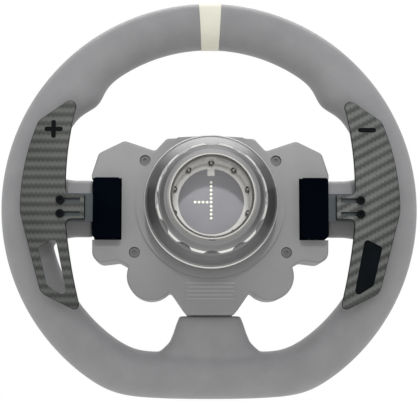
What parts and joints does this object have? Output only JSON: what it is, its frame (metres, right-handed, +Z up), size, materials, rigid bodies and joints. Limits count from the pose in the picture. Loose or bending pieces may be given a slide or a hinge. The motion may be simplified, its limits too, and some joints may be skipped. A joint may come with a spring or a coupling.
{
  "type": "racing wheel",
  "caption": "Flat-bottomed sim racing wheel with padded rim, carbon shift paddles, lobed button housing and a sliding-collar quick release.",
  "frame": {"origin": "on the quick release's axis, where the socket's straight bore begins", "axes": "+Y out of the socket, away from the driver; +Z up; +X the driver's right"},
  "size_m": [0.28, 0.0968, 0.2682],
  "materials": {
    "cast_aluminium": "as cast, machined faces",
    "grip_foam": "moulded",
    "grip_leather": "smooth, low sheen",
    "mark_leather": "smooth, low sheen",
    "shell_plastic": "fine moulded texture",
    "label_print": "pad printed",
    "face_laminate": "twill under satin lacquer",
    "dark_screws": "black oxide",
    "smoked_lens": "polished",
    "circuit_board": "solder mask",
    "cap_plastic": "satin",
    "anodised_dark": "bead blasted, anodised",
    "black_plastic": "fine moulded texture",
    "switch_steel": "drawn",
    "turned_aluminium": "turned, clear anodised",
    "spring_steel": "bright",
    "contact_plate": "moulded",
    "contact_pins": "plated",
    "sign_inlay": "gloss",
    "carbon_plate": "twill weave, satin lacquer",
    "knob_aluminium": "turned, black anodised",
    "stick_rubber": "moulded",
    "button_red": "satin",
    "button_white": "satin",
    "button_blue": "satin"
  },
  "bodies": {
    "wheel": {"button_bezels": "anodised_dark", "button_switches": "black_plastic", "centre_cap": "cap_plastic", "centre_mark": "mark_leather", "control_board": "circuit_board", "encoders": "switch_steel", "faceplate": "face_laminate", "faceplate_screws": "dark_screws", "front_housing": "shell_plastic", "led_board": "circuit_board", "lens_bar": "smoked_lens", "pivot_pin_left": "spring_steel", "pivot_pin_right": "spring_steel", "qr_balls": "spring_steel", "qr_contact_pins": "contact_pins", "qr_contact_plate": "contact_plate", "qr_hub": "turned_aluminium", "qr_hub_screws": "dark_screws", "qr_snap_ring": "spring_steel", "qr_spring": "spring_steel", "rear_cover": "shell_plastic", "rear_cover_screws": "dark_screws", "rim_armature": "cast_aluminium", "rim_foam": "grip_foam", "rim_wrap": "grip_leather", "serial_bars": "label_print", "shifter_housing_left": "black_plastic", "shifter_housing_right": "black_plastic", "shifter_magnet_left": "spring_steel", "shifter_magnet_right": "spring_steel", "shifter_switch_left": "black_plastic", "shifter_switch_right": "black_plastic", "stick_cans": "switch_steel"},
    "shifter_right": {"shifter_lever_right": "anodised_dark", "lever_magnet_right": "spring_steel", "paddle_right": "carbon_plate", "paddle_screws_right": "dark_screws", "plus_sign": "sign_inlay"},
    "shifter_left": {"shifter_lever_left": "anodised_dark", "lever_magnet_left": "spring_steel", "paddle_left": "carbon_plate", "paddle_screws_left": "dark_screws", "minus_sign": "sign_inlay", "window_infill": "black_plastic"},
    "collar": {"qr_collar": "turned_aluminium"},
    "push_right_1": {"button_right_1": "button_red"},
    "push_right_2": {"button_right_2": "button_white"},
    "push_right_3": {"button_right_3": "button_blue"},
    "push_right_4": {"button_right_4": "button_white"},
    "push_left_1": {"button_left_1": "button_red"},
    "push_left_2": {"button_left_2": "button_white"},
    "push_left_3": {"button_left_3": "button_blue"},
    "push_left_4": {"button_left_4": "button_white"},
    "dial_right": {"knob_right": "knob_aluminium"},
    "gimbal_right": {"stick_gimbal_right": "black_plastic"},
    "stick_right": {"thumb_stick_right": "stick_rubber"},
    "dial_left": {"knob_left": "knob_aluminium"},
    "gimbal_left": {"stick_gimbal_left": "black_plastic"},
    "stick_left": {"thumb_stick_left": "stick_rubber"}
  },
  "joints": [
    {"name": "shift_right", "type": "hinge", "parent": "wheel", "child": "shifter_right", "pos_m": [0.0645, -0.043, -0.0026], "axis": [0, 0, -1], "range_deg": [0, 5], "stiffness_Nm_per_rad": 1.2, "springref_deg": -6.88},
    {"name": "shift_left", "type": "hinge", "parent": "wheel", "child": "shifter_left", "pos_m": [-0.0645, -0.043, -0.0026], "axis": [0, 0, 1], "range_deg": [0, 5], "stiffness_Nm_per_rad": 1.2, "springref_deg": -6.88},
    {"name": "collar_slide", "type": "slide", "parent": "wheel", "child": "collar", "axis": [0, -1, 0], "range_m": [0, 0.006], "stiffness_N_per_m": 1500, "springref_m": -0.003},
    {"name": "press_right_1", "type": "slide", "parent": "wheel", "child": "push_right_1", "axis": [0, 1, 0], "range_m": [0, 0.0012], "stiffness_N_per_m": 600, "springref_m": -0.001},
    {"name": "press_right_2", "type": "slide", "parent": "wheel", "child": "push_right_2", "axis": [0, 1, 0], "range_m": [0, 0.0012], "stiffness_N_per_m": 600, "springref_m": -0.001},
    {"name": "press_right_3", "type": "slide", "parent": "wheel", "child": "push_right_3", "axis": [0, 1, 0], "range_m": [0, 0.0012], "stiffness_N_per_m": 600, "springref_m": -0.001},
    {"name": "press_right_4", "type": "slide", "parent": "wheel", "child": "push_right_4", "axis": [0, 1, 0], "range_m": [0, 0.0012], "stiffness_N_per_m": 600, "springref_m": -0.001},
    {"name": "press_left_1", "type": "slide", "parent": "wheel", "child": "push_left_1", "axis": [0, 1, 0], "range_m": [0, 0.0012], "stiffness_N_per_m": 600, "springref_m": -0.001},
    {"name": "press_left_2", "type": "slide", "parent": "wheel", "child": "push_left_2", "axis": [0, 1, 0], "range_m": [0, 0.0012], "stiffness_N_per_m": 600, "springref_m": -0.001},
    {"name": "press_left_3", "type": "slide", "parent": "wheel", "child": "push_left_3", "axis": [0, 1, 0], "range_m": [0, 0.0012], "stiffness_N_per_m": 600, "springref_m": -0.001},
    {"name": "press_left_4", "type": "slide", "parent": "wheel", "child": "push_left_4", "axis": [0, 1, 0], "range_m": [0, 0.0012], "stiffness_N_per_m": 600, "springref_m": -0.001},
    {"name": "turn_right", "type": "hinge", "parent": "wheel", "child": "dial_right", "pos_m": [0.0396, -0.08, -0.0466], "axis": [0, -1, 0], "continuous": true},
    {"name": "stick_tilt_right", "type": "hinge", "parent": "wheel", "child": "gimbal_right", "pos_m": [0.044, -0.079, 0.01], "axis": [1, 0, 0], "range_deg": [-12, 12], "stiffness_Nm_per_rad": 0.03},
    {"name": "stick_swing_right", "type": "hinge", "parent": "gimbal_right", "child": "stick_right", "pos_m": [0.044, -0.079, 0.01], "axis": [0, 0, 1], "range_deg": [-12, 12], "stiffness_Nm_per_rad": 0.03},
    {"name": "turn_left", "type": "hinge", "parent": "wheel", "child": "dial_left", "pos_m": [-0.0396, -0.08, -0.0466], "axis": [0, -1, 0], "continuous": true},
    {"name": "stick_tilt_left", "type": "hinge", "parent": "wheel", "child": "gimbal_left", "pos_m": [-0.044, -0.079, 0.01], "axis": [1, 0, 0], "range_deg": [-12, 12], "stiffness_Nm_per_rad": 0.03},
    {"name": "stick_swing_left", "type": "hinge", "parent": "gimbal_left", "child": "stick_left", "pos_m": [-0.044, -0.079, 0.01], "axis": [0, 0, 1], "range_deg": [-12, 12], "stiffness_Nm_per_rad": 0.03}
  ]
}
